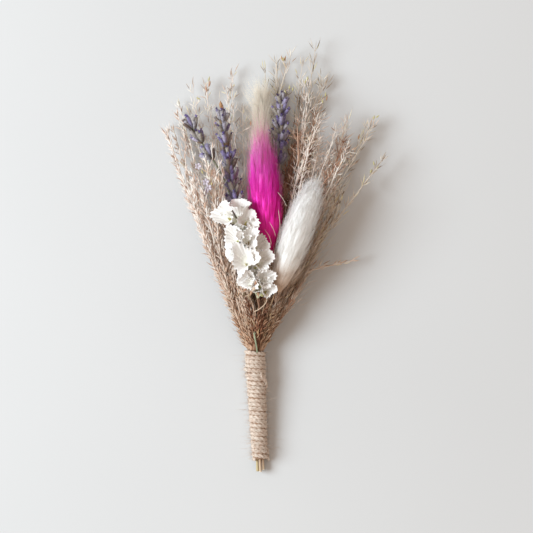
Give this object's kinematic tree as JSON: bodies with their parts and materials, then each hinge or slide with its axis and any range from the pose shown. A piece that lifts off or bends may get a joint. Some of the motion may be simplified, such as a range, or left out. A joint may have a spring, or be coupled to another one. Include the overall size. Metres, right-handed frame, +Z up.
{
  "type": "boutonniere",
  "caption": "Dried-flower boutonniere lying flat: hare's-tail heads, lavender, white statice and wispy grasses, with their stems bound in a sleeve of wound jute twine.",
  "frame": {"origin": "on the flat spot under the twine binding where it rests, below the middle of the handle", "axes": "+Y from the cut stems towards the flowers, +Z up from the surface that it lies on, +X to the right as the flowers are seen from above"},
  "size_m": [0.0996, 0.1898, 0.0331],
  "materials": {
    "twine": "dry, fibrous two-ply jute",
    "straw": "dry straw, matt with a slight sheen on the stalks",
    "stem": "dry stem, satin",
    "lavender": "dry, ribbed and finely downy",
    "statice_white": "papery, pleated, slightly translucent",
    "statice_green": "dry green stem, matt",
    "pink_tail": "fine dyed hairs, silky",
    "white_tail": "fine bleached hairs, silky",
    "cream_tail": "fine natural hairs, silky"
  },
  "bodies": {
    "root": {"twine_binding": "twine", "pink_tail_head": "pink_tail", "pink_tail_stem": "stem", "white_tail_head": "white_tail", "white_tail_stem": "stem", "cream_tail_head": "cream_tail", "cream_tail_stem": "stem", "lavender_left": "lavender", "lavender_middle": "lavender", "lavender_right": "lavender", "statice_head": "statice_white", "statice_stem": "statice_green", "grass_left_edge": "straw", "grass_left_low": "straw", "grass_left_front": "straw", "grass_left_tall": "straw", "grass_left_inner": "straw", "grass_back_left": "straw", "grass_back_right": "straw", "grass_tall": "straw", "grass_right_high": "straw", "grass_right_edge": "straw", "grass_plume_right": "straw", "grass_plume_middle": "straw"}
  },
  "joints": []
}
